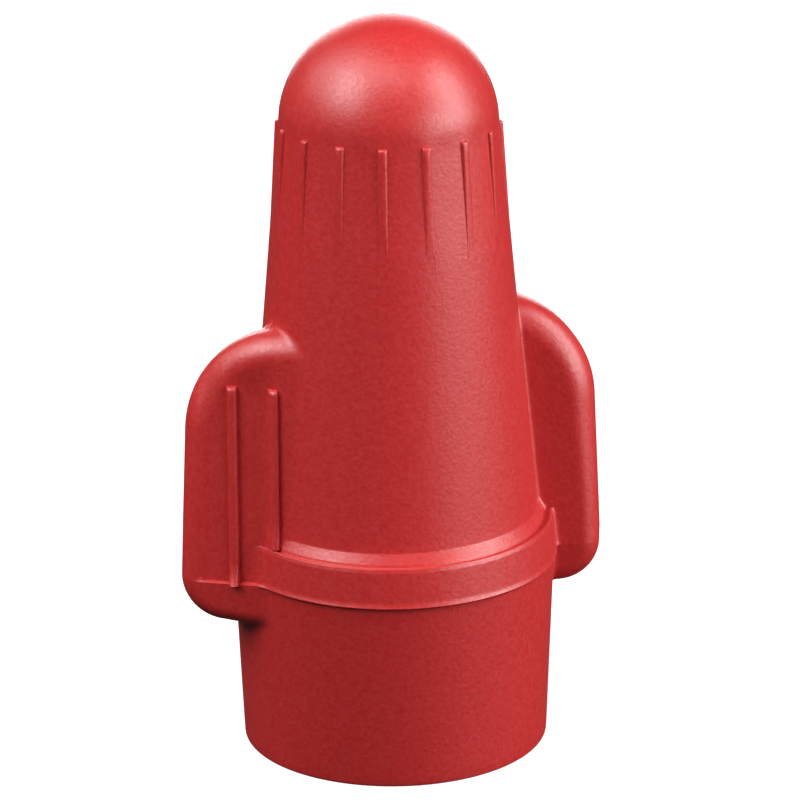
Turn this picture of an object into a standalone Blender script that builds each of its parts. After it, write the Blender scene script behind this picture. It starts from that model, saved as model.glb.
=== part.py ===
"""Winged twist-on wire connector, built as it comes apart on a bench.

A soft moulded cover with two swept finger wings slips over a hard liner with a funnel mouth.
The liner holds a tapered coil of square wire, whose inward corners grip the twisted wires.
Metres, +Z up, origin on the axis at the skirt's rim. The wings point along +X and -X.
"""

import math

import bmesh
import bpy

MM = 0.001

# Driving dimensions of the cover's outside
HEIGHT = 34.0 * MM
DOME_RADIUS = 4.92 * MM
CONE_TAPER = 0.0918
CONE_FOOT_Z = 11.1 * MM
RIM_Z = 10.58 * MM
RIM_RADIUS = 7.18 * MM
LEDGE_RADIUS = 6.85 * MM
PARTING_Z = 8.83 * MM
COLLAR_RADIUS = 7.46 * MM
SKIRT_TOP_RADIUS = 7.36 * MM
SKIRT_FOOT_RADIUS = 7.0 * MM
EDGE_BREAK = 0.1 * MM

# Walls, and the gap that neighbouring pieces keep
COVER_WALL = 0.85 * MM
LINER_WALL = 0.65 * MM
FIT_GAP = 0.25 * MM
SKIRT_BORE_TOP = 6.2 * MM
SKIRT_BORE_FOOT = 6.05 * MM

# The pocket in the collar that takes the liner's mouth
POCKET_RADIUS = 6.45 * MM
POCKET_TOP_Z = 10.6 * MM
POCKET_FOOT_Z = 7.9 * MM
MOUTH_RADIUS = 5.85 * MM
THROAT_Z = 11.0 * MM

# Fine grip ribs round the top of the cone
RIB_COUNT = 16
RIB_WIDTH = 0.4 * MM
RIB_PROUD = 0.14 * MM
RIB_TOP_Z = 29.19 * MM
RIB_FOOT_Z = 23.7 * MM

# Wings: a side outline in X and Z, and two drafted faces
WING_TIP_RADIUS = 9.42 * MM
WING_TIP_DRAFT = 0.037
WING_ROOT_X = 4.0 * MM
WING_TOP_ARC = 5.0 * MM
WING_TOP_ARC_Z = 15.45 * MM
WING_FOOT_Z = 6.85 * MM
WING_FOOT_ARC = 1.9 * MM
WING_FACE_DRAFT = 0.0716
WING_EDGE_ROUND = 0.9 * MM
# Each face of a wing: its distance from the XZ plane at a given X, and its slope along X
GRIP_FACE = {"x": 5.74 * MM, "y": 4.87 * MM, "slope": -0.177}
BACK_FACE = {"x": 7.97 * MM, "y": 0.75 * MM, "slope": 0.053}
WING_RIB_WIDTH = 0.37 * MM
WING_RIB_PROUD = 0.15 * MM
WING_RIB_ROOT = 0.4 * MM
WING_RIB_TOP_Z = 17.9 * MM
# Distance from the YZ plane, and the height where each rib stops
WING_RIBS = ((6.9 * MM, PARTING_Z), (5.04 * MM, RIM_Z - 0.3 * MM))

# Grip spring: square wire with its corners pointing in and out
SPRING_TURNS = 10.5
SPRING_WIRE_DIAGONAL = 1.2 * MM
SPRING_MOUTH_Z = 11.9 * MM
SPRING_TOP_Z = 28.3 * MM

# Fineness
TURN_STEPS = 64
SPRING_STEPS = 22
MERGE = 0.00001

COVER_RED = (0.52, 0.030, 0.028, 1.0)
LINER_RED = (0.36, 0.016, 0.014, 1.0)
SPRING_STEEL = (0.56, 0.57, 0.58, 1.0)


def clear_scene():
    for item in list(bpy.data.objects):
        bpy.data.objects.remove(item, do_unlink=True)


def new_collection(name):
    collection = bpy.data.collections.new(name)
    bpy.context.scene.collection.children.link(collection)
    return collection


def plastic_or_metal(name, colour, roughness, metallic):
    material = bpy.data.materials.new(name)
    material.use_nodes = True
    shader = material.node_tree.nodes["Principled BSDF"]
    shader.inputs["Base Color"].default_value = colour
    shader.inputs["Roughness"].default_value = roughness
    shader.inputs["Metallic"].default_value = metallic
    return material


def arc(centre, radius, start, end, count):
    """Points (x, z) on an arc; angles in degrees from +X towards +Z, both ends included."""
    points = []
    for step in range(count + 1):
        angle = math.radians(start + (end - start) * step / count)
        points.append((centre[0] + radius * math.cos(angle), centre[1] + radius * math.sin(angle)))
    return points


def turned(name, profile, collection):
    """A solid of revolution about Z from (radius, z) points, outer side first, top to bottom."""
    mesh = bpy.data.meshes.new(name)
    vertices = [(radius, 0.0, z) for radius, z in profile]
    edges = [(index, index + 1) for index in range(len(profile) - 1)]
    mesh.from_pydata(vertices, edges, [])
    solid = bpy.data.objects.new(name, mesh)
    collection.objects.link(solid)
    screw = solid.modifiers.new("turn", "SCREW")
    screw.axis = "Z"
    screw.steps = TURN_STEPS
    screw.render_steps = TURN_STEPS
    screw.use_merge_vertices = True
    screw.merge_threshold = MERGE
    return solid


def as_tool(solid):
    solid.hide_render = True
    solid.display_type = "WIRE"


def boolean(solid, tool, operation):
    cut = solid.modifiers.new(operation.lower(), "BOOLEAN")
    cut.operation = operation
    cut.solver = "EXACT"
    cut.object = tool


def dome_centre_z():
    return HEIGHT - DOME_RADIUS


def cone_radius(z):
    """Radius of the cone's outside; the cone is tangent to the dome."""
    slope = math.atan(CONE_TAPER)
    tangent_radius = DOME_RADIUS * math.cos(slope)
    tangent_z = dome_centre_z() + DOME_RADIUS * math.sin(slope)
    return tangent_radius + CONE_TAPER * (tangent_z - z)


def domed_cone(offset, foot_z, arcs):
    """Dome and cone moved inwards by offset, from the axis at the top down to foot_z."""
    slope = math.atan(CONE_TAPER)
    start = math.degrees(slope)
    points = arc((0.0, dome_centre_z()), DOME_RADIUS - offset, 90.0, start, arcs)
    points[0] = (0.0, points[0][1])
    points.append((cone_radius(foot_z) - offset / math.cos(slope), foot_z))
    return points


def cover_blank_profile():
    points = domed_cone(0.0, CONE_FOOT_Z, 8)
    points += [
        (LEDGE_RADIUS, RIM_Z + 0.07 * MM),
        (RIM_RADIUS - 0.1 * MM, RIM_Z - 0.03 * MM),
        (RIM_RADIUS, RIM_Z),
        (RIM_RADIUS + 0.07 * MM, RIM_Z - 0.13 * MM),
        (COLLAR_RADIUS, PARTING_Z + 0.03 * MM),
        (COLLAR_RADIUS, PARTING_Z - 0.03 * MM),
        (SKIRT_TOP_RADIUS, PARTING_Z - 0.06 * MM),
        (SKIRT_FOOT_RADIUS, EDGE_BREAK),
        (SKIRT_FOOT_RADIUS - EDGE_BREAK, 0.0),
        (0.0, 0.0),
    ]
    return points


def cover_bore_profile():
    points = domed_cone(COVER_WALL, POCKET_TOP_Z + 0.4 * MM, 5)
    points += [
        (POCKET_RADIUS, POCKET_TOP_Z),
        (POCKET_RADIUS, POCKET_FOOT_Z),
        (SKIRT_BORE_TOP, POCKET_FOOT_Z - 0.2 * MM),
        (SKIRT_BORE_FOOT, EDGE_BREAK),
        (SKIRT_BORE_FOOT + 2.0 * EDGE_BREAK, -EDGE_BREAK),
        (0.0, -EDGE_BREAK),
    ]
    return points


def face_y(face, x, z):
    """Distance of a wing's face from the XZ plane; both halves of the mould have draft."""
    return face["y"] + face["slope"] * (abs(x) - face["x"]), WING_FACE_DRAFT * abs(z - PARTING_Z)


def grip_y(x, z):
    reach, draft = face_y(GRIP_FACE, x, z)
    return -(reach - draft)


def back_y(x, z):
    reach, draft = face_y(BACK_FACE, x, z)
    return -(reach + draft)


def wing_outline():
    """Side view of the wing that points along -X, as (distance from the axis, z)."""
    tip_at_arc = WING_TIP_RADIUS - WING_TIP_DRAFT * (WING_TOP_ARC_Z - PARTING_Z)
    top_centre = (tip_at_arc - WING_TOP_ARC, WING_TOP_ARC_Z)
    foot_centre = (WING_TIP_RADIUS - WING_FOOT_ARC, WING_FOOT_Z + WING_FOOT_ARC + 0.1 * MM)
    points = [(WING_ROOT_X, WING_FOOT_Z)]
    points += arc(foot_centre, WING_FOOT_ARC, -85.0, 0.0, 6)
    points += arc(top_centre, WING_TOP_ARC, 0.0, 90.0, 10)
    points.append((WING_ROOT_X, WING_TOP_ARC_Z + WING_TOP_ARC))
    return points


def wing_blank(collection):
    """A slab between the two drafted faces, with rounded edges."""
    outline = [(-reach, z) for reach, z in wing_outline()]
    shape = bmesh.new()
    grip = [shape.verts.new((x, -1.0 * MM, z)) for x, z in outline]
    shape.faces.new(grip)
    extruded = bmesh.ops.extrude_face_region(shape, geom=shape.faces[:])
    for item in extruded["geom"]:
        if isinstance(item, bmesh.types.BMVert):
            item.co.y = 1.0 * MM
    everything = shape.verts[:] + shape.edges[:] + shape.faces[:]
    bmesh.ops.bisect_plane(shape, geom=everything, plane_co=(0.0, 0.0, PARTING_Z), plane_no=(0.0, 0.0, 1.0))
    for vertex in shape.verts:
        place = grip_y if vertex.co.y < 0.0 else back_y
        vertex.co.y = place(vertex.co.x, vertex.co.z)
    bmesh.ops.recalc_face_normals(shape, faces=shape.faces)
    mesh = bpy.data.meshes.new("wing_blank")
    shape.to_mesh(mesh)
    shape.free()
    blank = bpy.data.objects.new("wing_blank", mesh)
    collection.objects.link(blank)
    bevel = blank.modifiers.new("round", "BEVEL")
    bevel.width = WING_EDGE_ROUND
    bevel.segments = 3
    bevel.limit_method = "ANGLE"
    bevel.angle_limit = math.radians(40.0)
    as_tool(blank)
    return blank


def half_turn_copy(solid, collection):
    """The same shape on the other side of the axis."""
    copy = bpy.data.objects.new(solid.name + "_turned", solid.data)
    collection.objects.link(copy)
    for modifier in solid.modifiers:
        twin = copy.modifiers.new(modifier.name, modifier.type)
        twin.width = modifier.width
        twin.segments = modifier.segments
        twin.limit_method = modifier.limit_method
        twin.angle_limit = modifier.angle_limit
    copy.rotation_euler.z = math.pi
    as_tool(copy)
    return copy


def add_bar(shape, corner):
    """A cube whose eight corners are moved by corner(side, depth, level), each -1 or 1."""
    bar = bmesh.ops.create_cube(shape, size=2.0)
    for vertex in bar["verts"]:
        side, depth, level = (round(value) for value in vertex.co)
        vertex.co = corner(side, depth, level)


def bars_object(name, shape, collection):
    bmesh.ops.recalc_face_normals(shape, faces=shape.faces)
    mesh = bpy.data.meshes.new(name)
    shape.to_mesh(mesh)
    shape.free()
    bars = bpy.data.objects.new(name, mesh)
    collection.objects.link(bars)
    as_tool(bars)
    return bars


def cone_ribs(collection):
    """Ribs that stand proud at their blunt top and sink into the cone at their foot."""
    shape = bmesh.new()
    for index in range(RIB_COUNT):
        angle = 2.0 * math.pi * index / RIB_COUNT

        def corner(side, depth, level, angle=angle):
            z = RIB_TOP_Z if level > 0 else RIB_FOOT_Z
            proud = RIB_PROUD if level > 0 else -0.3 * RIB_PROUD
            radius = cone_radius(z) + (proud if depth > 0 else -0.5 * COVER_WALL)
            across = 0.5 * RIB_WIDTH * side
            x = radius * math.cos(angle) - across * math.sin(angle)
            y = radius * math.sin(angle) + across * math.cos(angle)
            return (x, y, z)

        add_bar(shape, corner)
    return bars_object("cone_ribs", shape, collection)


def wing_ribs(collection):
    """Two upright ribs on the grip face of each wing."""
    shape = bmesh.new()
    for turn in (1.0, -1.0):
        for reach, foot_z in WING_RIBS:

            def corner(side, depth, level, turn=turn, reach=reach, foot_z=foot_z):
                x = -reach + 0.5 * WING_RIB_WIDTH * side
                z = WING_RIB_TOP_Z if level > 0 else foot_z
                y = grip_y(x, z) + (-WING_RIB_PROUD if depth < 0 else WING_RIB_ROOT)
                return (turn * x, turn * y, z)

            add_bar(shape, corner)
    return bars_object("wing_ribs", shape, collection)


def outer_cover(parts, cutters):
    cover = turned("outer_cover", cover_blank_profile(), parts)
    wing = wing_blank(cutters)
    bore = turned("cover_bore", cover_bore_profile(), cutters)
    as_tool(bore)
    boolean(cover, wing, "UNION")
    boolean(cover, half_turn_copy(wing, cutters), "UNION")
    boolean(cover, wing_ribs(cutters), "UNION")
    boolean(cover, cone_ribs(cutters), "UNION")
    boolean(cover, bore, "DIFFERENCE")
    return cover


def liner_outside():
    """From the axis at the closed end down to the rim of the funnel mouth."""
    points = domed_cone(COVER_WALL + FIT_GAP, POCKET_TOP_Z + 0.3 * MM, 6)
    flange_radius = POCKET_RADIUS - FIT_GAP
    points += [
        (flange_radius - 0.1 * MM, POCKET_TOP_Z - FIT_GAP - 0.1 * MM),
        (flange_radius, POCKET_TOP_Z - FIT_GAP - 0.2 * MM),
        (flange_radius, POCKET_FOOT_Z + FIT_GAP),
        (MOUTH_RADIUS, POCKET_FOOT_Z + FIT_GAP),
    ]
    return points


def liner_inside():
    """From the funnel's mouth up through the spring chamber to the closed end."""
    chamber = domed_cone(COVER_WALL + FIT_GAP + LINER_WALL, THROAT_Z, 5)
    chamber.reverse()
    return chamber


def inner_shell(parts):
    return turned("inner_shell", liner_outside() + liner_inside(), parts)


def chamber_radius(z):
    slope = math.atan(CONE_TAPER)
    return cone_radius(z) - (COVER_WALL + FIT_GAP + LINER_WALL) / math.cos(slope)


def grip_spring(parts):
    """A right-hand coil that narrows towards the closed end."""
    count = int(SPRING_TURNS * SPRING_STEPS)
    half = 0.5 * SPRING_WIRE_DIAGONAL
    curve = bpy.data.curves.new("grip_spring", "CURVE")
    curve.dimensions = "3D"
    curve.twist_mode = "Z_UP"
    curve.bevel_depth = half
    curve.bevel_resolution = 0
    curve.use_fill_caps = True
    spline = curve.splines.new("POLY")
    spline.points.add(count)
    for index, point in enumerate(spline.points):
        share = index / count
        angle = 2.0 * math.pi * SPRING_TURNS * share
        z = SPRING_MOUTH_Z + (SPRING_TOP_Z - SPRING_MOUTH_Z) * share
        radius = chamber_radius(z) - FIT_GAP - half
        point.co = (radius * math.cos(angle), radius * math.sin(angle), z, 1.0)
    spring = bpy.data.objects.new("grip_spring", curve)
    parts.objects.link(spring)
    return spring


def finish(solid, material, smooth):
    solid.data.materials.append(material)
    if smooth:
        solid.data.shade_smooth()


def main():
    clear_scene()
    parts = new_collection("twist_wire_connector")
    cutters = new_collection("twist_wire_connector_cutters")
    cover = outer_cover(parts, cutters)
    finish(cover, plastic_or_metal("cover_red", COVER_RED, 0.45, 0.0), True)
    liner = inner_shell(parts)
    finish(liner, plastic_or_metal("liner_red", LINER_RED, 0.35, 0.0), True)
    spring = grip_spring(parts)
    finish(spring, plastic_or_metal("spring_steel", SPRING_STEEL, 0.3, 1.0), False)


main()
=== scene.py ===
"""Looks of a winged twist-on wire connector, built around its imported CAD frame.

The cover is one fine mesh: a turned profile whose level rows are led out round the two wings,
with fillets where a wing leaves the cone, the collar and the skirt. The liner and the coil are
turned and swept to the same rooms as their CAD solids. Sizes are in millimetres until a mesh is made.
"""
import math

import bmesh
import bpy
import numpy as np
from mathutils import Matrix, Vector


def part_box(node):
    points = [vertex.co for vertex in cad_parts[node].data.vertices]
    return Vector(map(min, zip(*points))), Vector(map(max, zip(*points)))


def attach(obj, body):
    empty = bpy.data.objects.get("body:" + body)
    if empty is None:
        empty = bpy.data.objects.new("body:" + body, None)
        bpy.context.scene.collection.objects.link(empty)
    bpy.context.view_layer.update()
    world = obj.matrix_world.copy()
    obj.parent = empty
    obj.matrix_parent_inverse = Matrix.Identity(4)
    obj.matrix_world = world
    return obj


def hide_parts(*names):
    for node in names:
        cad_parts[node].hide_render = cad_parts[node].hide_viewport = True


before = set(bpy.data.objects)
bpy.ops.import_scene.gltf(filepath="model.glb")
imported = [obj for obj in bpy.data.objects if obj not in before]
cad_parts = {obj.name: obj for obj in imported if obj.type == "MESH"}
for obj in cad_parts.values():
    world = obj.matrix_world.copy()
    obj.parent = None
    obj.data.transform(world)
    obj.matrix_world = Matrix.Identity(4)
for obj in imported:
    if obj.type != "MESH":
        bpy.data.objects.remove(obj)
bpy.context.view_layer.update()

MM = 0.001
cover_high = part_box("outer_cover")[1] / MM
HEIGHT = cover_high.z
WING_TIP = cover_high.x
COLLAR_RADIUS = cover_high.y

# Turned outside of the cover
DOME_RADIUS = 4.92
DOME_Z = HEIGHT - DOME_RADIUS
CONE_TAPER = 0.0918
CONE_ANGLE = math.atan(CONE_TAPER)
CONE_FOOT_Z = 11.1
LEDGE_RADIUS = 6.86
LEDGE_Z = 10.66
PARTING_Z = 8.83
SKIRT_TOP_RADIUS = 7.36
SKIRT_FOOT_RADIUS = 7.0
SKIRT_TAPER = (SKIRT_TOP_RADIUS - SKIRT_FOOT_RADIUS) / PARTING_Z
SKIRT_LIP = 0.12

# The collar's raised rim with the groove behind it, and the flash along the parting line
RIM_Z = 10.58
RIM_TOP_Z = 10.62
RIM_EDGE_Z = 10.42
RIM_RADII = (7.13, 7.23, 7.29)
GROOVE_Z = 10.53
GROOVE_RADII = (6.90, 7.05)
FLASH_PROUD = 0.035
FLASH_HALF = 0.01

# Walls and rooms inside
COVER_WALL = 0.85
LINER_WALL = 0.65
FIT_GAP = 0.25
SKIRT_BORE_TOP = 6.2
SKIRT_BORE_FOOT = 6.05
POCKET_RADIUS = 6.45
POCKET_TOP_Z = 10.6
POCKET_FOOT_Z = 7.9
MOUTH_RADIUS = 5.85
THROAT_Z = 11.0

# Grip ribs round the cone, and the slightly flattened strips between them
RIB_COUNT = 16
RIB_WIDTH = 0.4
RIB_PROUD = 0.14
RIB_TOP_Z = 29.19
RIB_FOOT_Z = 23.4
FACET = math.pi / RIB_COUNT
FACET_SHARE = 0.4

# Wings, seen from the side: a tip line between a top arc and a foot arc
TIP_SLOPE = 0.037
TIP_ANGLE = math.atan(TIP_SLOPE)
TOP_ARC = 5.0
TOP_ARC_Z = 15.45
FOOT_ARC = 2.0
FOOT_ARC_Z = 8.85
FOOT_RISE = math.radians(6.0)
FOOT_LINE_Z = FOOT_ARC_Z - FOOT_ARC
WING_TOP_Z = TOP_ARC_Z + TOP_ARC
WING_LOW_Z = FOOT_LINE_Z - 0.16
# Wings, seen from above: two drafted faces, y = at + slope * (reach - from)
GRIP_AT, GRIP_FROM, GRIP_SLOPE = 4.87, 5.74, -0.177
BACK_AT, BACK_FROM, BACK_SLOPE = 0.75, 7.97, 0.053
FACE_DRAFT = 0.0716
FOOT_DRAFT = 0.3 * FACE_DRAFT
WING_START = 1.5
EDGE_ROUND_FOOT = 0.8
EDGE_ROUND_TOP = 1.15
NOSE_HALF = 0.03
ROOT_BLEND = 0.24

# The hollowed grip face: it is deeper on the body's side of the outer rib, down to the collar's end
RECESS_DEPTH = 0.2
RECESS_EXTRA = 0.5
COLLAR_END = 5.62

# Upright ribs on each grip face: distance from the axis plane and foot height
WING_RIB_WIDTH = 0.46
WING_RIB_CREST = 1.25 * RECESS_DEPTH + 0.06
WING_RIB_TOP_Z = 17.9
WING_RIBS = ((6.93, PARTING_Z), (5.04, RIM_Z + 0.1))

# A rib's section, as (across, rise) for a half width of 1 and a height of 1; its sides go in a little
RIB_SECTION = ((-1.15, -0.12), (-1.0, 0.0), (-0.86, 0.72), (-0.5, 0.97), (0.0, 1.0),
               (0.5, 0.97), (0.86, 0.72), (1.0, 0.0), (1.15, -0.12))

# Square wire of the spring, standing on its corners
SPRING_TURNS = 10.5
WIRE_HALF = 0.6
WIRE_CORNER = 0.06

# Fineness of the meshes: the cover's row pitches (degrees on arcs), the coil's steps in a turn,
# the cover's columns in half a turn, and the points that a wing's path is first drawn with
CONE_PITCH = 0.25
SKIRT_PITCH = 0.3
TOP_ARC_PITCH = 1.6
FOOT_ARC_PITCH = 3.0
FOOT_LINE_PITCH = 0.012
SPRING_STEPS = 72
HALF_COLUMNS = 160
FRONT_COLUMNS = 23
WING_COLUMNS = 92
FACE_POINTS = 160
NOSE_POINTS = 120
CONE_ROWS_Z = CONE_FOOT_Z + 0.3
SKIRT_ROWS_Z = PARTING_Z - 0.28

# Colours (darkest and lightest) and the sizes of the patterns in them
COVER_RED = ((0.49, 0.016, 0.0155), (0.54, 0.031, 0.03))
LINER_RED = ((0.33, 0.011, 0.011), (0.38, 0.015, 0.014))
ZINC_GREY = ((0.47, 0.48, 0.50), (0.66, 0.67, 0.68))
MOTTLE_SIZE = 0.2
GRAIN_SIZE = 0.17
FLOW_SIZE = 1.6

# The floor's flat radius, its bend and its wall, in metres
FLOOR_RADIUS = 1.2
WALL_BEND = 0.5
WALL_TOP = 2.0

# Camera: it looks at a target beside the axis, turned, raised and rolled by degrees
VIEW_AZIMUTH = 3.2
VIEW_ELEVATION = 19.084
VIEW_ROLL = -0.633
VIEW_DISTANCE = 0.2
VIEW_TARGET = Vector((0.366 * MM, 0.0, 16.045 * MM))
LENS = 198.35

# Soft lights: azimuth to the camera's right and elevation (degrees), distance and size (m), power (W)
LIGHT_AIM = Vector((0.0, 0.0, 0.017))
WORLD_LIGHT = 0.035
SOFT_BOXES = {
    "left_box": (-58.0, 42.0, 0.3, (0.18, 0.16), 0.66),
    "left_high_box": (-72.0, 62.0, 0.3, (0.16, 0.16), 0.24),
    "left_side_box": (-103.0, 38.0, 0.3, (0.16, 0.16), 0.18),
    "front_high_box": (4.0, 66.0, 0.3, (0.16, 0.12), 0.22),
    "right_box": (80.0, 38.0, 0.3, (0.16, 0.16), 0.60),
    "right_low_box": (68.0, 11.0, 0.3, (0.28, 0.1), 0.72),
    "back_box": (180.0, 8.0, 0.45, (0.3, 0.2), 1.1),
}


# ---------------------------------------------------------------- outlines

def cone_radius(z):
    tangent_z = DOME_Z + DOME_RADIUS * math.sin(CONE_ANGLE)
    return DOME_RADIUS * math.cos(CONE_ANGLE) + CONE_TAPER * (tangent_z - z)


def arc(centre, radius, start, end, count):
    """Points on an arc, angles in degrees, both ends included."""
    angles = np.radians(np.linspace(start, end, count + 1))
    return [(centre[0] + radius * math.cos(a), centre[1] + radius * math.sin(a)) for a in angles]


def filleted(corners, step):
    """A fine outline through corners (r, z, fillet radius, arc steps), straight runs cut to step."""
    points = [np.array(corners[0][:2])]
    for index in range(1, len(corners)):
        here = np.array(corners[index][:2])
        if index < len(corners) - 1 and corners[index][2] > 0.0:
            into = here - np.array(corners[index - 1][:2])
            out = np.array(corners[index + 1][:2]) - here
            into /= np.linalg.norm(into)
            out /= np.linalg.norm(out)
            turn = math.acos(max(-1.0, min(1.0, float(into @ out))))
            setback = corners[index][2] * math.tan(turn / 2.0)
            start, end = here - into * setback, here + out * setback
            count = corners[index][3]
            bend = []
            for k in range(count + 1):
                t = k / count
                bend.append((1 - t) ** 2 * start + 2 * t * (1 - t) * here + t ** 2 * end)
        else:
            bend = [here]
        run = bend[0] - points[-1]
        pieces = max(1, int(np.linalg.norm(run) / step))
        points += [points[-1] + run * (k + 1) / pieces for k in range(pieces)]
        points += bend[1:]
    return points


def domed_cone(offset, foot_z, arcs):
    """The dome and cone, moved inwards by offset, from the top point down to foot_z."""
    start = math.degrees(CONE_ANGLE)
    points = arc((0.0, DOME_Z), DOME_RADIUS - offset, 90.0, start, arcs)
    points[0] = (0.0, points[0][1])
    points.append((cone_radius(foot_z) - offset / math.cos(CONE_ANGLE), foot_z))
    return points


def skirt_radius(z):
    return SKIRT_FOOT_RADIUS + SKIRT_TAPER * z


def wing_heights():
    """Row heights that keep an even pitch along the wing's outline."""
    top_turns = np.radians(np.arange(0.0, 88.0, TOP_ARC_PITCH))
    foot_turns = np.radians(np.arange(0.0, 84.0, FOOT_ARC_PITCH))
    rows = [TOP_ARC_Z + TOP_ARC * math.sin(turn) for turn in top_turns]
    rows += [FOOT_ARC_Z - FOOT_ARC * math.sin(turn) for turn in foot_turns]
    rows += [FOOT_LINE_Z - FOOT_LINE_PITCH * k for k in range(1, 12)]
    return rows


def cone_rows():
    dome = arc((0.0, DOME_Z), DOME_RADIUS, 90.0, math.degrees(CONE_ANGLE), 44)[1:]
    heights = list(np.arange(dome[-1][1] - CONE_PITCH, CONE_ROWS_Z, -CONE_PITCH))
    heights = [z for z in heights if not TOP_ARC_Z < z < WING_TOP_Z]
    heights += [z for z in wing_heights() if z > TOP_ARC_Z]
    return dome + [(cone_radius(z), z) for z in sorted(set(heights), reverse=True)]


def collar_rows():
    """From the cone's foot over the ledge, the groove and the rim, down past the parting line."""
    groove_inner, groove_outer = GROOVE_RADII
    rim_inner, rim_outer, rim_edge = RIM_RADII
    collar = [
        (cone_radius(CONE_ROWS_Z), CONE_ROWS_Z, 0.0, 0),
        (cone_radius(CONE_FOOT_Z), CONE_FOOT_Z, 0.2, 5),
        (LEDGE_RADIUS, LEDGE_Z, 0.04, 3),
        (groove_inner, GROOVE_Z, 0.03, 3),
        (groove_outer, GROOVE_Z, 0.03, 3),
        (rim_inner, RIM_TOP_Z, 0.03, 3),
        (rim_outer, RIM_TOP_Z - 0.01, 0.05, 5),
        (rim_edge, RIM_EDGE_Z, 0.06, 3),
        (COLLAR_RADIUS, PARTING_Z + 0.05, 0.0, 0),
    ]
    flash = [(COLLAR_RADIUS + FLASH_PROUD, PARTING_Z + height) for height in (FLASH_HALF, -FLASH_HALF)]
    step_start = (COLLAR_RADIUS - 0.02, PARTING_Z - 0.04)
    step = [
        (*step_start, 0.0, 0),
        (SKIRT_TOP_RADIUS, PARTING_Z - 0.12, 0.06, 4),
        (skirt_radius(PARTING_Z - 0.25), PARTING_Z - 0.25, 0.0, 0),
    ]
    return filleted(collar, 0.2)[1:] + flash + [step_start] + filleted(step, 0.1)[1:]


def skirt_rows():
    heights = [z for z in wing_heights() if z < SKIRT_ROWS_Z]
    heights += list(np.arange(6.5, SKIRT_PITCH, -SKIRT_PITCH))
    rows = [(skirt_radius(z), z) for z in sorted(set(heights), reverse=True)]
    return rows + arc((SKIRT_FOOT_RADIUS - SKIRT_LIP, SKIRT_LIP), SKIRT_LIP, 0.0, -90.0, 5)


def cover_outside():
    """Rows (radius, z) from the top of the dome down to the skirt's outer edge."""
    return [tuple(row) for row in cone_rows() + collar_rows() + skirt_rows()]


def cover_inside():
    """Rows from the skirt's inner edge up to the closed end of the liner's room."""
    corners = [
        (SKIRT_BORE_FOOT + 0.35, 0.0, 0.0, 0),
        (SKIRT_BORE_FOOT + 0.02, 0.0, 0.18, 5),
        (SKIRT_BORE_TOP, POCKET_FOOT_Z - 0.2, 0.05, 2),
        (POCKET_RADIUS, POCKET_FOOT_Z, 0.05, 2),
        (POCKET_RADIUS, POCKET_TOP_Z, 0.05, 2),
        (cone_radius(POCKET_TOP_Z + 0.4) - COVER_WALL, POCKET_TOP_Z + 0.4, 0.0, 0),
    ]
    roof = domed_cone(COVER_WALL, POCKET_TOP_Z + 1.0, 12)
    return [tuple(row) for row in filleted(corners, 1.2) + roof[:0:-1]]


# ---------------------------------------------------------------- the cover's wings

def smoothstep(value, low, high):
    """0 below low, 1 above high and an even curve between."""
    t = np.clip((value - low) / (high - low), 0.0, 1.0)
    return t * t * (3.0 - 2.0 * t)


def tip_reach(z):
    return WING_TIP - TIP_SLOPE * (z - PARTING_Z)


def arc_centres():
    """Centres of the wing's top and foot arcs, both tangent to the tip line."""
    along = 1.0 / math.cos(TIP_ANGLE)
    top = (tip_reach(TOP_ARC_Z) - TOP_ARC * along, TOP_ARC_Z)
    foot = (tip_reach(FOOT_ARC_Z) - FOOT_ARC * along, FOOT_ARC_Z)
    return top, foot


def outline_depth(reach, z):
    """How far a point lies inside the wing's side outline."""
    top, foot = arc_centres()
    u, w = reach - top[0], z - top[1]
    above = -u * math.sin(TIP_ANGLE) + w * math.cos(TIP_ANGLE) > 0.0
    top_depth = TOP_ARC - np.where(u > 0.0, np.hypot(u, w), w)
    tip_depth = TOP_ARC - (u * math.cos(TIP_ANGLE) + w * math.sin(TIP_ANGLE))
    u2, w2 = reach - foot[0], foot[1] - z
    below = u2 * math.sin(TIP_ANGLE) + w2 * math.cos(TIP_ANGLE) > 0.0
    beside = u2 * math.cos(FOOT_RISE) - w2 * math.sin(FOOT_RISE) > 0.0
    foot_line = u2 * math.sin(FOOT_RISE) + w2 * math.cos(FOOT_RISE)
    foot_depth = FOOT_ARC - np.where(beside, np.hypot(u2, w2), foot_line)
    depth = np.where(above, top_depth, np.where(below, foot_depth, tip_depth))
    return np.minimum(depth, reach - WING_START)


def recess(reach, z):
    """How far the grip face is hollowed above the parting line, where its upright ribs stand."""
    outer = WING_RIBS[0][0]
    tip_side = 1.0 - smoothstep(reach, WING_TIP - 1.5, WING_TIP - 0.55)
    inner = 1.0 - smoothstep(reach, outer - 0.1, outer + 0.4)
    low_side = smoothstep(reach, COLLAR_END - 0.4, COLLAR_END)
    high_side = smoothstep(reach, GRIP_FROM - 1.5, GRIP_FROM + 0.2)
    rise = smoothstep(z, RIM_Z, RIM_Z + 1.2)
    root_side = rise * high_side + (1.0 - rise) * low_side
    upper = 1.0 - smoothstep(z, WING_RIB_TOP_Z - 0.6, WING_RIB_TOP_Z + 2.0)
    lower = smoothstep(z, PARTING_Z, PARTING_Z + 0.04)
    return RECESS_DEPTH * (1.0 + RECESS_EXTRA * inner) * tip_side * root_side * upper * lower


def wing_faces(reach, z):
    """Distances of the grip face and the back face from the axis plane."""
    draft = np.maximum(FACE_DRAFT * (z - PARTING_Z), FOOT_DRAFT * (PARTING_Z - z))
    grip = GRIP_AT + GRIP_SLOPE * (reach - GRIP_FROM) - draft
    back = BACK_AT + BACK_SLOPE * (reach - BACK_FROM) + draft
    return grip, back


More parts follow.
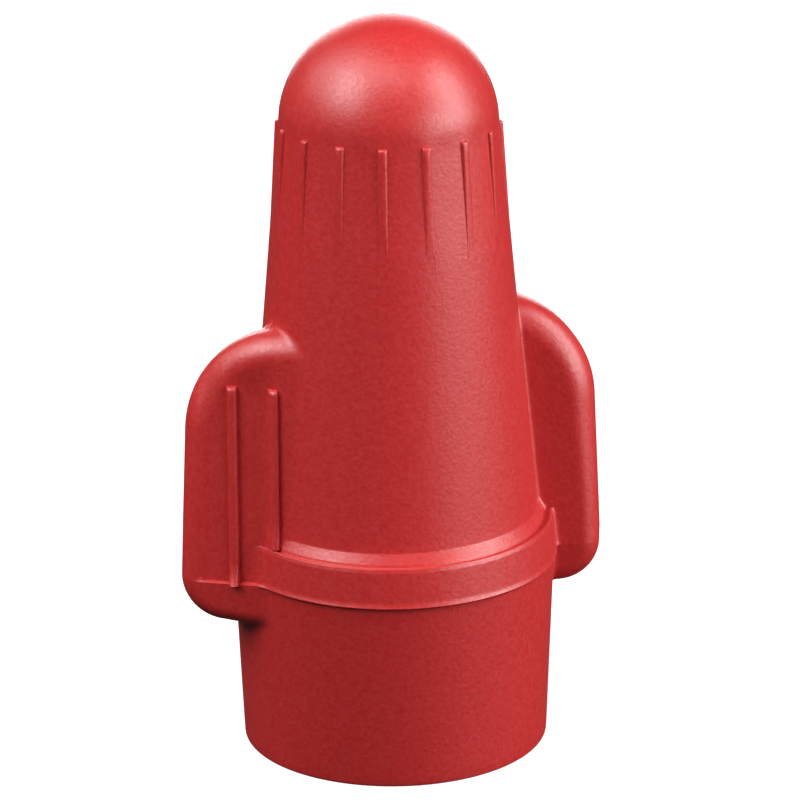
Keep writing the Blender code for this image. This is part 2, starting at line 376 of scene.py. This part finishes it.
def wing_distance(reach, side, z):
    """Signed distance to one wing; reach runs outwards along it and side towards its grip face."""
    grip, back = wing_faces(reach, z)
    grip = grip - recess(reach, z)
    edge = edge_round(z)
    across = np.abs(side - (grip + back) / 2.0) - (grip - back) / 2.0 + edge
    along = edge - outline_depth(reach, z)
    outside = np.hypot(np.maximum(across, 0.0), np.maximum(along, 0.0))
    return np.minimum(np.maximum(across, along), 0.0) + outside - edge


def blend_distance(a, b, width):
    """The union of two shapes with a fillet of about that width."""
    mix = np.clip(0.5 + 0.5 * (b - a) / width, 0.0, 1.0)
    return b * (1.0 - mix) + a * mix - width * mix * (1.0 - mix)



def edge_round(z):
    """Rounding of the wing's edge, which grows upwards."""
    return EDGE_ROUND_FOOT + (EDGE_ROUND_TOP - EDGE_ROUND_FOOT) * smoothstep(z, 10.0, 18.0)


def section_tip(level):
    """Furthest reach of the wing's side outline at one height."""
    top, foot = arc_centres()
    rise, drop = level - TOP_ARC_Z, FOOT_ARC_Z - level
    if rise > 0.0:
        return top[0] + math.sqrt(max(TOP_ARC ** 2 - rise ** 2, 0.0))
    if drop > FOOT_ARC * math.cos(FOOT_RISE):
        return foot[0] + (FOOT_ARC - drop * math.cos(FOOT_RISE)) / math.sin(FOOT_RISE)
    if drop > 0.0:
        return foot[0] + math.sqrt(FOOT_ARC ** 2 - drop ** 2)
    return tip_reach(level)


def root_reach(face, radius, level):
    """Reach at which a wing face meets the turned body of that radius."""
    reach = radius
    for _ in range(12):
        side = wing_faces(reach, level)[face]
        reach = math.sqrt(max(radius ** 2 - side ** 2, 1.0))
    return reach


def face_side(face, reach, level):
    """Where a wing face runs at one height, drawn in by the rounding of the wing's edge."""
    edge = edge_round(level)
    depth = np.clip(outline_depth(reach, level), 0.0, edge)
    faces = wing_faces(reach, level)
    inset = edge - np.sqrt(edge ** 2 - (edge - depth) ** 2)
    inset = np.minimum(inset, (faces[0] - faces[1]) / 2.0 - NOSE_HALF)
    return faces[face] + (-inset, inset)[face]


def wing_path(radius, z):
    """The way round the wing on the -X side at one height, from its grip root to its back root."""
    level = min(max(z, WING_LOW_Z), WING_TOP_Z)
    grip_root = root_reach(0, radius, level)
    back_root = root_reach(1, radius, level)
    tip = max(section_tip(level), grip_root)
    ease = np.sin(np.linspace(0.0, math.pi / 2.0, FACE_POINTS))
    out = grip_root + (tip - grip_root) * ease
    back = (back_root + (tip - back_root) * ease)[::-1]
    grip_side = face_side(0, out, level) - recess(out, level)
    back_side = face_side(1, back, level)
    nose = np.linspace(grip_side[-1], back_side[0], NOSE_POINTS)[1:-1]
    reach = np.concatenate([out, np.full(len(nose), tip), back])
    path = np.stack([-reach, -np.concatenate([grip_side, nose, back_side])], 1)
    if z != level:
        roots = np.arctan2(path[[0, -1], 1], path[[0, -1], 0]) % (2.0 * math.pi)
        turns = np.linspace(roots[0], roots[1], WING_COLUMNS)
        return radius * np.stack([np.cos(turns), np.sin(turns)], 1)
    radii = np.hypot(path[:, 0], path[:, 1])
    return path * (np.maximum(radii, radius) / radii)[:, None]


def spread_along(path, count):
    """That many points at even distances along a path."""
    steps = np.hypot(*np.diff(path, axis=0).T)
    length = np.concatenate([[0.0], np.cumsum(steps)])
    wanted = np.linspace(0.0, length[-1], count)
    return np.stack([np.interp(wanted, length, path[:, k]) for k in (0, 1)], 1)


def half_row(radius, z):
    """One half of a level row, from the -Y side round the -X wing, up to the +Y side."""
    wing = spread_along(wing_path(radius, z), WING_COLUMNS)
    ends = np.arctan2(wing[[0, -1], 1], wing[[0, -1], 0]) % (2.0 * math.pi)
    front = np.linspace(1.5 * math.pi, ends[0], FRONT_COLUMNS + 1)[:-1]
    rear_count = HALF_COLUMNS - FRONT_COLUMNS - WING_COLUMNS
    rear = np.linspace(ends[1], 0.5 * math.pi, rear_count + 2)[1:-1]
    arcs = [np.stack([radius * np.cos(a), radius * np.sin(a)], 1) for a in (front, rear)]
    row = np.concatenate([arcs[0], wing, arcs[1]])
    above = smoothstep(z, WING_TOP_Z + 0.9, RIB_TOP_Z)
    below = 1.0 - smoothstep(z, 0.3, WING_LOW_Z - 0.7)
    share = above + below
    if share > 0.0:
        angles = np.arctan2(row[:, 1], row[:, 0]) % (2.0 * math.pi)
        even = 1.5 * math.pi - np.arange(HALF_COLUMNS) * math.pi / HALF_COLUMNS
        mixed = angles * (1.0 - share) + even * share
        row = radius * np.stack([np.cos(mixed), np.sin(mixed)], 1)
    return row


def facet_factor(x, y, z):
    """Between its ribs the upper cone is flattened into strips."""
    angle = np.arctan2(y, x)
    offset = np.mod(angle, 2.0 * FACET) - FACET
    flat = math.cos(FACET) / np.cos(offset)
    fade_in = smoothstep(z, RIB_FOOT_Z, RIB_TOP_Z - 2.5)
    fade_out = 1.0 - smoothstep(z, RIB_TOP_Z - 0.4, RIB_TOP_Z + 0.8)
    return 1.0 - FACET_SHARE * fade_in * fade_out * (1.0 - flat)


def body_distance(x, y, z, ring):
    """Signed distance to the turned body near one ring (radius, z, slope), with its two wings."""
    radius = ring[0] + ring[2] * (z - ring[1])
    turned = np.hypot(x, y) - radius * facet_factor(x, y, z)
    wing = np.minimum(wing_distance(-x, -y, z), wing_distance(x, y, z))
    return blend_distance(turned, wing, ROOT_BLEND)


def settled(x, y, z, ring, lift):
    """Moves points along the distance's slope until they lie on the blended surface."""
    step = 1e-4
    for _ in range(16):
        value = body_distance(x, y, z, ring)
        slopes = [
            (body_distance(x + step, y, z, ring) - value) / step,
            (body_distance(x, y + step, z, ring) - value) / step,
            (body_distance(x, y, z + step, ring) - value) / step * lift,
        ]
        size = np.maximum(slopes[0] ** 2 + slopes[1] ** 2 + slopes[2] ** 2, 0.05)
        move = np.clip(value / size, -0.25, 0.25)
        x = x - move * slopes[0]
        y = y - move * slopes[1]
        z = z - move * slopes[2]
    return x, y, z


# ---------------------------------------------------------------- meshes

def grid_mesh(name, rows, start_point=None, end_point=None):
    """A closed tube of equal rings, (rings, columns, 3), with a fan on a point at either end."""
    rings, columns, _ = rows.shape
    points = [tuple(p) for p in rows.reshape(-1, 3) * MM]
    faces = []
    for ring in range(rings - 1):
        for column in range(columns):
            after = (column + 1) % columns
            low, high = ring * columns, (ring + 1) * columns
            faces.append((low + column, high + column, high + after, low + after))
    for point, ring, flip in ((start_point, 0, False), (end_point, rings - 1, True)):
        if point is None:
            continue
        points.append(tuple(value * MM for value in point))
        tip, base = len(points) - 1, ring * columns
        for column in range(columns):
            pair = (base + column, base + (column + 1) % columns)
            faces.append((tip, *(pair[::-1] if flip else pair)))
    mesh = bpy.data.meshes.new(name)
    mesh.from_pydata(points, [], faces)
    mesh.update()
    return mesh


def new_piece(name, mesh, sharp_angle):
    """An object for the mesh, smooth but for edges sharper than the angle."""
    mesh.shade_smooth()
    mesh.set_sharp_from_angle(angle=math.radians(sharp_angle))
    piece = bpy.data.objects.new(name, mesh)
    bpy.context.scene.collection.objects.link(piece)
    return piece


def falling_heights(heights):
    """The same heights with every turn back up ironed out, so each lies below the one before."""
    flat = heights[:, 0].copy()
    for index in range(1, len(flat)):
        flat[index] = min(flat[index], flat[index - 1] - 0.01)
    return flat[:, None]


def outside_points(outline):
    """The outside rows' half turn, moved onto the blended surface of the turned body and wings."""
    halves = np.array([half_row(radius, z) for radius, z in outline])
    radii, heights = (np.array(column)[:, None] for column in zip(*outline))
    x, y = halves[:, :, 0], halves[:, :, 1]
    z = np.repeat(heights, HALF_COLUMNS, 1)
    on_cone = heights > CONE_ROWS_Z
    on_skirt = heights < SKIRT_ROWS_Z
    slope = np.where(on_cone, -CONE_TAPER, np.where(on_skirt, SKIRT_TAPER, 0.0))
    lift = np.where(on_cone | on_skirt, 1.0, 0.0)
    near = (heights[:, 0] > WING_LOW_Z - 0.6) & (heights[:, 0] < WING_TOP_Z + 0.8)
    ring = (radii[near], heights[near], slope[near])
    x[near], y[near], z[near] = settled(x[near], y[near], z[near], ring, lift[near])
    on_wing = smoothstep(np.hypot(x, y) - radii, 0.05, 0.6)
    z = z + np.where(lift > 0.0, 0.0, (falling_heights(heights) - heights) * on_wing)
    x[near], y[near], z[near] = settled(x[near], y[near], z[near], ring, 0.0)
    factor = np.where(near[:, None], 1.0, facet_factor(x, y, z))
    return np.stack([x * factor, y * factor, z], 2)


def inside_points(outline):
    """The inside rows' half turn, plain circles with the columns of the outside."""
    halves = np.array([half_row(radius, z) for radius, z in outline])
    radii, heights = (np.array(column)[:, None, None] for column in zip(*outline))
    halves *= radii / np.linalg.norm(halves, axis=2, keepdims=True)
    return np.concatenate([halves, np.repeat(heights, HALF_COLUMNS, 1)], 2)


def cover_body():
    half = np.concatenate([outside_points(cover_outside()), inside_points(cover_inside())])
    rows = np.concatenate([half, half * (-1.0, -1.0, 1.0)], 1)
    roof = DOME_Z + DOME_RADIUS - COVER_WALL
    return grid_mesh("cover_body", rows, (0.0, 0.0, HEIGHT), (0.0, 0.0, roof))


def turned_mesh(name, rows, columns, end_points):
    """Rows (radius, z) turned round the axis, closed by a point at either end."""
    angles = -np.arange(columns) * 2.0 * math.pi / columns
    rings = [[(r * math.cos(a), r * math.sin(a), z) for a in angles] for r, z in rows]
    return grid_mesh(name, np.array(rings), *end_points)


def bar_mesh(name, stations, half_width, place):
    """A bar with a rounded crest: stations are (position along, height); place gives its points."""
    columns = len(RIB_SECTION)
    points = []
    for along, height in stations:
        for across, rise in RIB_SECTION:
            lift = rise if rise < 0.0 else rise * height
            points.append(tuple(v * MM for v in place(along, across * half_width, lift)))
    faces = []
    for index in range(len(stations) - 1):
        low, high = index * columns, (index + 1) * columns
        for column in range(columns - 1):
            faces.append((low + column, low + column + 1, high + column + 1, high + column))
        faces.append((low + columns - 1, low, high, high + columns - 1))
    faces.append(tuple(range(columns))[::-1])
    faces.append(tuple(range(len(points) - columns, len(points))))
    mesh = bpy.data.meshes.new(name)
    mesh.from_pydata(points, [], faces)
    mesh.update()
    return mesh


def cone_rib(index):
    """A grip rib that fades into the cone towards its foot."""
    angle = 2.0 * math.pi * index / RIB_COUNT

    def place(z, across, lift):
        radius = cone_radius(z) + lift
        x = radius * math.cos(angle) + across * math.sin(angle)
        y = radius * math.sin(angle) - across * math.cos(angle)
        return (x, y, z)

    stations = [
        (RIB_TOP_Z + 0.05, -0.04),
        (RIB_TOP_Z + 0.02, 0.6 * RIB_PROUD),
        (RIB_TOP_Z - 0.03, 0.93 * RIB_PROUD),
    ]
    run = RIB_TOP_Z - 0.1 - RIB_FOOT_Z
    for share in np.linspace(0.0, 1.0, 13):
        stations.append((RIB_TOP_Z - 0.1 - run * share, RIB_PROUD * (1.0 - share) - 0.03 * share))
    return bar_mesh("cone_rib", stations, RIB_WIDTH / 2.0, place)


def wing_rib(turn, reach, foot_z):
    """An upright rib on a grip face; turn is 1 for the -X wing and -1 for the +X wing."""
    def place(z, across, lift):
        here = reach + across
        side = wing_faces(here, z)[0] - float(recess(here, z)) + lift
        return (-turn * here, -turn * side, z)

    stations = [
        (WING_RIB_TOP_Z + 0.07, -0.05),
        (WING_RIB_TOP_Z + 0.03, 0.6 * WING_RIB_CREST),
        (WING_RIB_TOP_Z - 0.05, 0.95 * WING_RIB_CREST),
    ]
    stations += [(z, WING_RIB_CREST) for z in np.linspace(WING_RIB_TOP_Z - 0.15, foot_z, 17)]
    return bar_mesh("wing_rib", stations, WING_RIB_WIDTH / 2.0, place)


def joined(name, meshes, sharp_angle):
    """One object from several closed meshes."""
    whole = bmesh.new()
    for mesh in meshes:
        whole.from_mesh(mesh)
        bpy.data.meshes.remove(mesh)
    bmesh.ops.recalc_face_normals(whole, faces=whole.faces)
    merged = bpy.data.meshes.new(name)
    whole.to_mesh(merged)
    whole.free()
    return new_piece(name, merged, sharp_angle)


def outer_cover():
    meshes = [cover_body()]
    meshes += [cone_rib(index) for index in range(RIB_COUNT)]
    meshes += [wing_rib(turn, *rib) for turn in (1.0, -1.0) for rib in WING_RIBS]
    return joined("moulded_cover", meshes, 50.0)


def liner_rows():
    """The liner's outline, from its top down the outside and up the inside, with its end points."""
    offset = COVER_WALL + FIT_GAP
    outside = domed_cone(offset, POCKET_TOP_Z + 0.3, 16)[1:-1]
    flange = POCKET_RADIUS - FIT_GAP
    mouth_z = POCKET_FOOT_Z + FIT_GAP
    foot = cone_radius(POCKET_TOP_Z + 0.3) - offset / math.cos(CONE_ANGLE)
    throat = cone_radius(THROAT_Z) - (offset + LINER_WALL) / math.cos(CONE_ANGLE)
    corners = [
        (outside[-1][0], outside[-1][1], 0.0, 0),
        (foot, POCKET_TOP_Z + 0.3, 0.1, 3),
        (flange - 0.05, POCKET_TOP_Z - FIT_GAP - 0.1, 0.1, 4),
        (flange, mouth_z, 0.1, 4),
        (MOUTH_RADIUS, mouth_z, 0.14, 5),
        (throat, THROAT_Z, 0.5, 6),
    ]
    roof = domed_cone(offset + LINER_WALL, THROAT_Z, 14)[1:-1]
    roof.reverse()
    corners.append((roof[0][0], roof[0][1], 0.0, 0))
    rows = outside + [tuple(p) for p in filleted(corners, 0.8)[1:]] + roof[1:]
    top = DOME_Z + DOME_RADIUS - offset
    return rows, ((0.0, 0.0, top), (0.0, 0.0, top - LINER_WALL))


def inner_shell():
    rows, ends = liner_rows()
    return joined("funnel_liner", [turned_mesh("liner", rows, 128, ends)], 50.0)


def wire_section():
    """A square with slightly rounded corners, standing on one of them, as (outward, up)."""
    inner = WIRE_HALF - WIRE_CORNER * math.sqrt(2.0)
    points = []
    for corner in range(4):
        middle = math.radians(90.0 * corner)
        for turn in (-45.0, 0.0, 45.0):
            bend = middle + math.radians(turn)
            outward = inner * math.cos(middle) + WIRE_CORNER * math.cos(bend)
            up = inner * math.sin(middle) + WIRE_CORNER * math.sin(bend)
            points.append((outward, up))
    return points


def grip_spring():
    """A tapered coil of square wire, one corner of which points to the axis."""
    low, high = (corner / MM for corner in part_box("grip_spring"))
    start, end = low.z + WIRE_HALF, high.z - WIRE_HALF
    count = int(SPRING_TURNS * SPRING_STEPS)
    section = wire_section()
    rings = []
    for index in range(count + 1):
        share = index / count
        angle = 2.0 * math.pi * SPRING_TURNS * share
        z = start + (end - start) * share
        room = cone_radius(z) - (COVER_WALL + FIT_GAP + LINER_WALL) / math.cos(CONE_ANGLE)
        radius = room - FIT_GAP - WIRE_HALF
        ring = []
        for outward, up in section:
            r = radius + outward
            ring.append((r * math.cos(angle), r * math.sin(angle), z + up))
        rings.append(ring)
    rings = np.array(rings)
    mesh = grid_mesh("coil", rings, rings[0].mean(0), rings[-1].mean(0))
    return joined("coil_spring", [mesh], 35.0)


# ---------------------------------------------------------------- materials

def shader_tree(name):
    material = bpy.data.materials.new(name)
    material.use_nodes = True
    return material, material.node_tree.nodes, material.node_tree.links


def noise_node(nodes, links, coordinate, feature, detail):
    """Noise whose features are about that many millimetres across."""
    noise = nodes.new("ShaderNodeTexNoise")
    noise.inputs["Scale"].default_value = 1.0 / (feature * MM)
    noise.inputs["Detail"].default_value = detail
    links.new(coordinate, noise.inputs["Vector"])
    return noise.outputs["Fac"]


def span_node(nodes, links, value, low, high):
    """Spreads the usual range of a noise over low to high."""
    remap = nodes.new("ShaderNodeMapRange")
    remap.inputs["From Min"].default_value = 0.3
    remap.inputs["From Max"].default_value = 0.7
    remap.inputs["To Min"].default_value = low
    remap.inputs["To Max"].default_value = high
    links.new(value, remap.inputs["Value"])
    return remap.outputs["Result"]


def colour_node(nodes, links, value, colours):
    """Spreads the usual range of a noise over two colours."""
    ramp = nodes.new("ShaderNodeValToRGB")
    for element, position, colour in zip(ramp.color_ramp.elements, (0.3, 0.7), colours):
        element.position = position
        element.color = (*colour, 1.0)
    links.new(value, ramp.inputs["Fac"])
    return ramp.outputs["Color"]


def bump_node(nodes, links, height, depth, before=None):
    bump = nodes.new("ShaderNodeBump")
    bump.inputs["Strength"].default_value = 1.0
    bump.inputs["Distance"].default_value = depth * MM
    links.new(height, bump.inputs["Height"])
    if before is not None:
        links.new(before, bump.inputs["Normal"])
    return bump.outputs["Normal"]


def moulded_plastic(name, colours, roughness, grain_depth, gloss):
    """Red plastic with a fine moulded grain on slight waves."""
    material, nodes, links = shader_tree(name)
    shader = nodes["Principled BSDF"]
    place = nodes.new("ShaderNodeTexCoord").outputs["Object"]
    mottle = noise_node(nodes, links, place, MOTTLE_SIZE, 2.0)
    links.new(colour_node(nodes, links, mottle, colours), shader.inputs["Base Color"])
    grain = noise_node(nodes, links, place, GRAIN_SIZE, 1.0)
    flow = noise_node(nodes, links, place, FLOW_SIZE, 2.0)
    links.new(span_node(nodes, links, grain, *roughness), shader.inputs["Roughness"])
    waves = bump_node(nodes, links, flow, grain_depth * 0.3)
    links.new(bump_node(nodes, links, grain, grain_depth, waves), shader.inputs["Normal"])
    shader.inputs["Specular IOR Level"].default_value = gloss
    return material


def plated_steel():
    """Zinc-plated wire, cloudy and finely drawn."""
    material, nodes, links = shader_tree("zinc_plated_wire")
    shader = nodes["Principled BSDF"]
    place = nodes.new("ShaderNodeTexCoord").outputs["Object"]
    cloud = noise_node(nodes, links, place, 0.6, 4.0)
    links.new(colour_node(nodes, links, cloud, ZINC_GREY), shader.inputs["Base Color"])
    fine = noise_node(nodes, links, place, 0.05, 3.0)
    links.new(span_node(nodes, links, fine, 0.2, 0.38), shader.inputs["Roughness"])
    links.new(bump_node(nodes, links, fine, 0.004), shader.inputs["Normal"])
    shader.inputs["Metallic"].default_value = 1.0
    return material


def wear(piece, material, body, node):
    """Gives a piece its material and its place on the CAD frame."""
    piece.data.materials.clear()
    piece.data.materials.append(material)
    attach(piece, body)
    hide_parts(node)


# ---------------------------------------------------------------- stage

def white_sweep():
    """A pale floor that curves up into a wall all round; it lights nothing but itself."""
    outline = [(0.02, 0.0), (0.3, 0.0), (FLOOR_RADIUS, 0.0)]
    outline += arc((FLOOR_RADIUS, WALL_BEND), WALL_BEND, -80.0, 0.0, 8)
    outline.append((FLOOR_RADIUS + WALL_BEND, WALL_TOP))
    rows = [(r / MM, z / MM) for r, z in outline]
    mesh = turned_mesh("white_sweep", rows, 96, ((0.0, 0.0, 0.0), None))
    mesh.shade_smooth()
    sweep = bpy.data.objects.new("white_sweep", mesh)
    bpy.context.scene.collection.objects.link(sweep)
    material, nodes, _ = shader_tree("white_paper")
    shader = nodes["Principled BSDF"]
    shader.inputs["Base Color"].default_value = (0.35, 0.35, 0.35, 1.0)
    shader.inputs["Roughness"].default_value = 0.9
    shader.inputs["Specular IOR Level"].default_value = 0.0
    shader.inputs["Emission Color"].default_value = (1.0, 1.0, 1.0, 1.0)
    shader.inputs["Emission Strength"].default_value = 0.86
    mesh.materials.append(material)
    sweep.visible_glossy = False
    sweep.visible_diffuse = False


def direction(azimuth, elevation):
    """Unit vector from the object towards a light; azimuth 0 is the camera's side."""
    a, e = math.radians(azimuth + VIEW_AZIMUTH), math.radians(elevation)
    return Vector((math.sin(a) * math.cos(e), -math.cos(a) * math.cos(e), math.sin(e)))


def soft_box(name, azimuth, elevation, distance, size, power):
    light = bpy.data.lights.new(name, "AREA")
    light.shape = "RECTANGLE"
    light.size, light.size_y = size
    light.energy = power
    lamp = bpy.data.objects.new(name, light)
    bpy.context.scene.collection.objects.link(lamp)
    towards = direction(azimuth, elevation)
    lamp.location = LIGHT_AIM + towards * distance
    lamp.rotation_euler = towards.to_track_quat("Z", "Y").to_euler()


def world_light(strength):
    world = bpy.data.worlds.new("studio")
    bpy.context.scene.world = world
    world.use_nodes = True
    background = world.node_tree.nodes["Background"]
    background.inputs["Color"].default_value = (1.0, 1.0, 1.0, 1.0)
    background.inputs["Strength"].default_value = strength


def photo_camera():
    data = bpy.data.cameras.new("camera")
    data.lens = LENS
    data.sensor_width = 36.0
    data.clip_start = 0.01
    camera = bpy.data.objects.new("camera", data)
    bpy.context.scene.collection.objects.link(camera)
    e, roll = math.radians(VIEW_ELEVATION), math.radians(VIEW_ROLL)
    back = Vector((0.0, -math.cos(e), math.sin(e)))
    level = Vector((1.0, 0.0, 0.0))
    upright = back.cross(level)
    right = level * math.cos(roll) + upright * math.sin(roll)
    up = upright * math.cos(roll) - level * math.sin(roll)
    turn = Matrix.Rotation(math.radians(VIEW_AZIMUTH), 3, "Z")
    axes = Matrix((turn @ right, turn @ up, turn @ back)).transposed()
    place = turn @ (VIEW_TARGET + back * VIEW_DISTANCE)
    camera.matrix_world = Matrix.Translation(place) @ axes.to_4x4()
    bpy.context.scene.camera = camera


def main():
    red = moulded_plastic("satin_red", COVER_RED, (0.36, 0.46), 0.010, 0.75)
    deep_red = moulded_plastic("liner_red", LINER_RED, (0.2, 0.28), 0.0008, 0.5)
    wear(outer_cover(), red, "shell", "outer_cover")
    wear(inner_shell(), deep_red, "shell", "inner_shell")
    wear(grip_spring(), plated_steel(), "spring", "grip_spring")
    white_sweep()
    photo_camera()
    world_light(WORLD_LIGHT)
    for name, setting in SOFT_BOXES.items():
        soft_box(name, *setting)
    bpy.context.scene.view_settings.view_transform = "Standard"


main()
